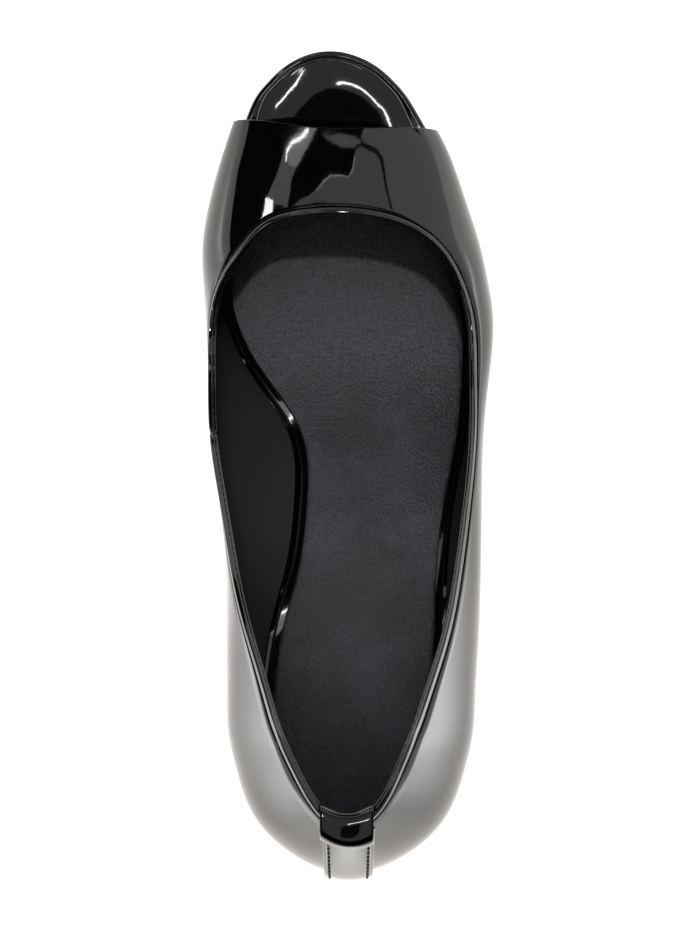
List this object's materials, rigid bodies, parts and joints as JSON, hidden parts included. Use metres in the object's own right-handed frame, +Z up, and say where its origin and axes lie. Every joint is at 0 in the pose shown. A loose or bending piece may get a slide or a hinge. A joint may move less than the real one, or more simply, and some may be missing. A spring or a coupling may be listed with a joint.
{
  "type": "wedge shoe",
  "caption": "Right-foot peep-toe wedge pump in black patent leather: hollow upper with rolled collar, wrapped wedge and platform, footbed with leather sock, back strip and folded heel tab.",
  "frame": {"origin": "middle of the bounding box, on the floor that the sole stands on", "axes": "+Y to the toe, +X to the outer (little toe) side, +Z up"},
  "size_m": [0.0873, 0.2368, 0.1457],
  "materials": {
    "patent": "high-gloss patent",
    "sock_leather": "fine grain, satin",
    "rubber": "matte"
  },
  "bodies": {
    "root": {"outsole": "rubber", "wedge": "patent", "footbed": "patent", "sock": "sock_leather", "upper": "patent", "collar_binding": "patent", "back_strip": "patent", "back_keeper": "patent"}
  },
  "joints": []
}
